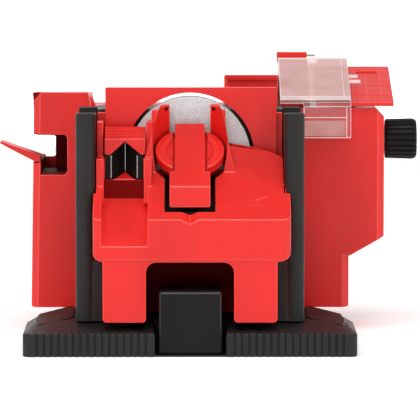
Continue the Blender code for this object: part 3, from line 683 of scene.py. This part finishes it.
def scissor_station():
    """Ridged hood over the vee guide, with steel strips on the guide's edges, and one in its corner whose
    bright steel is a painted highlight on the edge where the guide's plates meet.
    """
    lines = []
    for k in range(4):
        y = HOOD_Y + 1.2 + k * 1.5
        z = HOOD_Z + (y - HOOD_Y) * HOOD_RISE / HOOD_RUN
        line = box(f"hood_line_{k}", (-36, -17), (-0.13, 0.13), (-0.22, 0.6))
        lines.append(placed(line, 0, y, z, turn_x=math.atan2(HOOD_RISE, HOOD_RUN)))
    refined("scissor_hood", 0.2, fine=lines)
    refined("scissor_guide", 0.25)
    for name, x in (("guide_edge_left", -32.0), ("guide_edge_right", -21.4)):
        strip = box(name, (x - 0.16, x + 0.16), (-12.8, -12.4), (GUIDE_FOOT, 78.7))
        added(strip, "frame", "zinc_steel", 0.06)
    # A bright steel strip as a painted highlight on the edge where the guide's two plates meet.
    seam = box("guide_seam_glint", (-26.53, -26.27), (-4.5, -4.1), (72.0, 83.4))
    added(seam, "frame", "zinc_steel", 0.06)


def turret():
    """Ring with a round groove in its face, and the drill bar with a seam down its middle."""
    groove = turned("ring_groove", [(9.2, 5.0), (9.6, 5.0), (9.6, 8.0), (9.2, 8.0)], 64)
    refined("turret_ring", 0.3, fine=[on_slope(groove)])
    seam = box("bar_seam", (-0.1, 0.1), (-26, 0), (7.48, 9))
    refined("drill_bar", 0.55, fine=[on_slope(seam)], segments=3)


# ---------------------------------------------------------------- rear head

def rear_head():
    """Rear head with chamfered front edges, its covers, the knife rest, the gland and the back's screws."""
    foot, lean = 10.6, 1.4 / 91.0
    left = prism("left_chamfer", "Z", [(-67.6, 42.0), (-64.3, 42.0), (-64.3, 42.6), (-67.6, 45.0)], 8, 104)
    for corner in left.data.vertices:
        corner.co.x += (corner.co.z - foot * MM) * lean
    cuts = [left]
    for name, x, low, high in (("right_low", 67.0, 8, 32.7), ("right_high", 81.8, 36, 96)):
        outline = [(x + 0.2, 42.0), (x - 2.7, 42.0), (x - 2.7, 42.6), (x + 0.2, 44.8)]
        cuts.append(prism(f"chamfer_{name}", "Z", outline, low, high))
    fins = []
    for k, y in enumerate((52.0, 60.0)):
        outline = [(-43.4, 94.0), (-43.4, 99.6), (-41.6, 98.8), (-39.9, 95.4), (-39.9, 94.0)]
        fins.append(prism(f"tower_fin_{k}", "Y", outline, y, y + 1.2))
    # Regions whose faces get painted shade: the knife notch and the step at the top left corner.
    notch = ((-66.5, -51.2), (43.4, 92.5), (66.0, 84.2))
    corner_step = ((-66.6, -61.0), (47.0, 49.0), (95.0, 101.7))
    refined("rear_head", 0.35, joins=fins, cuts=cuts, shaded_regions=[notch, corner_step])
    vents = [box(f"back_vent_{k}", (-22, 22), (93, 97), (52.0 + k * 4.2, 53.8 + k * 4.2)) for k in range(6)]
    refined("rear_cover", 0.35, fine=vents)
    refined("wheel_cover", 0.5, cuts=[box("cover_recess", (15.8, 40), (47, 49.1), (90, 106.2))], segments=3)
    refined("knife_rest", 0.15)
    refined("cable_gland", 0.25)
    for k, (x, z) in enumerate(((-44, 20), (44, 20), (-44, 88), (60, 88), (72, 52))):
        back_screw(k + 1, x, z)


def back_screw(number, x, z):
    """Cross-head screw in the rear cover."""
    long, short, depth = 1.5, 0.3, (BACK_FACE + 0.5, BACK_FACE + 2.0)
    profile = [(0, 0), (2.6, 0), (2.6, 0.7), (2.0, 1.1), (0, 1.1)]
    screw = along_y(turned(f"back_screw_{number}", profile, 32), x, BACK_FACE, z)
    slots = [box(f"screw_slot_{u}_{v}", (x - u, x + u), depth, (z - v, z + v))
             for u, v in ((long, short), (short, long))]
    combine(screw, slots, "DIFFERENCE")
    added(screw, "frame", "zinc_steel")


def tilted_strip(name, x, y, levels, foot, tilt):
    """Strip between two x and two y, and between two levels above a plane that rises backwards."""
    spots = [(x[0], y[0]), (x[1], y[0]), (x[1], y[1]), (x[0], y[1])]
    foot_y, foot_z = foot
    loops = [[(u, v, foot_z + (v - foot_y) * math.tan(tilt) + above) for u, v in spots] for above in levels]
    return skinned(name, loops)


def platform_line(name, x, y):
    """Raised scale line on the platform, in the lighter red of a painted highlight."""
    item = tilted_strip(name, x, y, (-0.2, 0.12), (PLATFORM_Y, PLATFORM_Z), PLATFORM_TILT)
    added(item, "platform", "red_plastic", look=1)


def chisel_station():
    """Tilted platform with raised scale lines, the guard's bracket and hinge, and the knob."""
    refined("chisel_platform", 0.25)
    for k, x in enumerate((69.0, 75.0, 81.0)):
        platform_line(f"scale_line_{k}", (x - 0.16, x + 0.16), (42.0, 75.6))
    for k, y in enumerate((50.5, 62.0)):
        platform_line(f"cross_line_{k}", (68.2, 84.6), (y - 0.3, y + 0.3))
    refined("guard_bracket", 0.4)
    refined("guard_hinge", 0.4)
    knob()


def knob():
    """Fluted knob with a flared grip and a rounded end."""
    flutes, steps, groove_steps, groove_depth, radius = 22, 6, 2, 0.75, 8.6
    sections = [(82.8, 0.93), (83.3, 0.965), (84.0, 0.97), (90.0, 0.985)]
    sections += [(94.0, 1.0), (95.2, 0.965), (96.0, 0.88)]
    loops = []
    for x, share in sections:
        loop = []
        for k in range(flutes * steps):
            reach = radius * share - (groove_depth if k % steps < groove_steps else 0.0)
            turn = 2 * math.pi * k / (flutes * steps)
            loop.append((x, KNOB_Y + reach * math.cos(turn), KNOB_Z + reach * math.sin(turn)))
        loops.append(loop)
    item = skinned("adjusting_knob_grip", loops)
    dish = along_x(turned("knob_dish", [(0, 0), (5.6, 0), (6.0, 1), (0, 1)], 48), 95.3, KNOB_Y, KNOB_Z)
    combine(item, [dish], "DIFFERENCE")
    coat(item, LOOKS["black_plastic"])
    finish_piece(item, "knob", ["adjusting_knob"])


def panel_strip(name, x, y, low, high):
    """Clear strip on the guard panel, its heights counted from the panel's top face. It wears the whiter
    clear look, a painted highlight.
    """
    item = tilted_strip(name, x, y, (low, high), (GUARD_Y, GUARD_Z), GUARD_TILT)
    added(item, "spark_guard", "clear_plastic", look=1)


def clear_guard():
    """Clear guard: ribs and prongs on its panel, bars and a frosted strip on its skirt. The ribs, prongs,
    bars and bevel strips are whiter: a painted highlight along the acrylic's edges.
    """
    item = refined("clear_guard", 0.18)
    skirt = ((48.0, 67.4), (38.0, 40.6), (82.6, 96.0))
    ear = ((50.0, 55.0), (81.5, 88.0), (111.5, 116.8))
    repaint(item, CLEAR_WINDOW, [skirt, ear])
    for name, x, y in (("guard_far_rib", (38.4, 67.2), (81.6, 82.6)),
                       ("guard_side_rib", (64.6, 64.95), (41.0, 81.0)),
                       ("guard_left_rib", (38.0, 38.4), (39.0, 83.0)),
                       ("guard_near_rib", (38.0, 67.3), (40.6, 41.5))):
        panel_strip(name, x, y, 0.02, 0.35)
    panel_strip("guard_near_lip", (38.0, 67.3), (38.6, 39.0), 0.02, 0.3)
    for k, y in enumerate((59.0, 64.4)):
        panel_strip(f"guard_prong_{k + 1}", (67.3, 72.4 - k), (y, y + 1.0), -1.2, -0.2)
    # The bars wear the whiter clear look: a painted highlight.
    for name, x, z in (("skirt_top_bar", (48.0, 67.0), (95.5, 95.8)),
                       ("skirt_mid_bar", (47.8, 66.0), (90.9, 91.25)),
                       ("skirt_low_bar", (47.8, 67.4), (82.5, 82.75)),
                       ("skirt_side_bar", (65.6, 65.9), (82.8, 95.4)),
                       ("skirt_left_bar", (47.75, 48.05), (91.3, 95.4))):
        added(box(name, x, (38.15, 38.45), z), "spark_guard", "clear_plastic", look=1)
    strip = box("skirt_frosted_strip", (48.2, 65.4), (40.35, 40.6), (83.2, 89.6))
    added(strip, "spark_guard", "clear_plastic", special=FROSTED)


# ---------------------------------------------------------------- everything else

def carry_over():
    """Gives every CAD node that still shows its own surface its slot's first look; the knife stone gets
    red-brown grit darkened as painted shade.
    """
    for name, item in NODES.items():
        if item.hide_render:
            continue
        coat(item, [STONE_LOOK_AND_SHADE if name == "knife_stone" else LOOKS[SLOT_OF[name]][0]])


# ---------------------------------------------------------------- stage

def stage_surface(name, outline, glow):
    """Pale sheet through (y, z) points in metres, which shines a little by itself."""
    bm = bmesh.new()
    rims = [[bm.verts.new((x, y, z)) for y, z in outline] for x in (-STAGE_HALF, STAGE_HALF)]
    for k in range(len(outline) - 1):
        bm.faces.new((rims[0][k], rims[1][k], rims[1][k + 1], rims[0][k + 1]))
    mesh = bpy.data.meshes.new(name)
    bm.to_mesh(mesh)
    bm.free()
    for face in mesh.polygons:
        face.use_smooth = True
    item = bpy.data.objects.new(name, mesh)
    bpy.context.scene.collection.objects.link(item)
    made, tree, shader = new_material(name)
    shader.inputs["Base Color"].default_value = (*STUDIO_GREY, 1.0)
    shader.inputs["Roughness"].default_value = 0.9
    shader.inputs["Specular IOR Level"].default_value = 0.1
    shader.inputs["Emission Color"].default_value = (*WHITE, 1.0)
    shader.inputs["Emission Strength"].default_value = glow
    mesh.materials.append(made)


def area_light(name, spot, size, power):
    """White light that faces the object's middle. The lengths are in metres."""
    lamp = bpy.data.lights.new(name, "AREA")
    lamp.shape = "RECTANGLE"
    lamp.size, lamp.size_y = size
    lamp.energy = power
    item = bpy.data.objects.new(name, lamp)
    item.location = spot
    item.rotation_euler = (Vector(OBJECT_MIDDLE) - Vector(spot)).to_track_quat("-Z", "Y").to_euler()
    bpy.context.scene.collection.objects.link(item)


def stage():
    """Pale floor, and a brighter backdrop that leaves room for a camera behind the object."""
    seam, bend, radius, top, steps = 1.2, 4.6, 0.8, 4.0, 12
    backdrop = [(seam, 0.0), (bend, 0.0)]
    for k in range(1, steps + 1):
        turn = math.pi / 2 * k / steps
        backdrop.append((bend + radius * math.sin(turn), radius - radius * math.cos(turn)))
    backdrop.append((bend + radius, top))
    stage_surface("studio_floor", [(-STAGE_HALF, 0.0), (seam, 0.0)], 0.30)
    stage_surface("studio_backdrop", backdrop, 0.95)
    world = bpy.data.worlds.new("studio")
    world.use_nodes = True
    sky = world.node_tree.nodes["Background"]
    sky.inputs["Color"].default_value = (*WHITE, 1.0)
    sky.inputs["Strength"].default_value = 0.22
    bpy.context.scene.world = world
    area_light("left", (-2.3, -1.2, 1.2), (1.0, 1.8), 22.0)
    area_light("right", (2.3, -1.2, 1.1), (1.0, 1.8), 20.0)
    area_light("top", (0.0, -1.0, 2.4), (1.6, 1.2), 35.0)
    area_light("front", (-0.5, -2.6, 1.5), (1.2, 1.0), 15.0)


def camera():
    """Long lens a little above the object and almost straight in front of it."""
    lens = bpy.data.cameras.new("camera")
    lens.lens, lens.sensor_width = 315.0, 36.0
    lens.clip_start, lens.clip_end = 0.05, 20.0
    item = bpy.data.objects.new("camera", lens)
    down, right = math.radians(4.897), math.radians(0.31181)
    aim = Vector((math.sin(right), math.cos(right) * math.cos(down), -math.sin(down)))
    item.location = (0.0, -1.5, 0.184)
    item.rotation_euler = aim.to_track_quat("-Z", "Y").to_euler()
    bpy.context.scene.collection.objects.link(item)
    bpy.context.scene.camera = item


base()
housing()
wheels()
front_head()
scissor_station()
turret()
rear_head()
chisel_station()
clear_guard()
carry_over()
stage()
camera()
bpy.context.scene.view_settings.view_transform = "Standard"
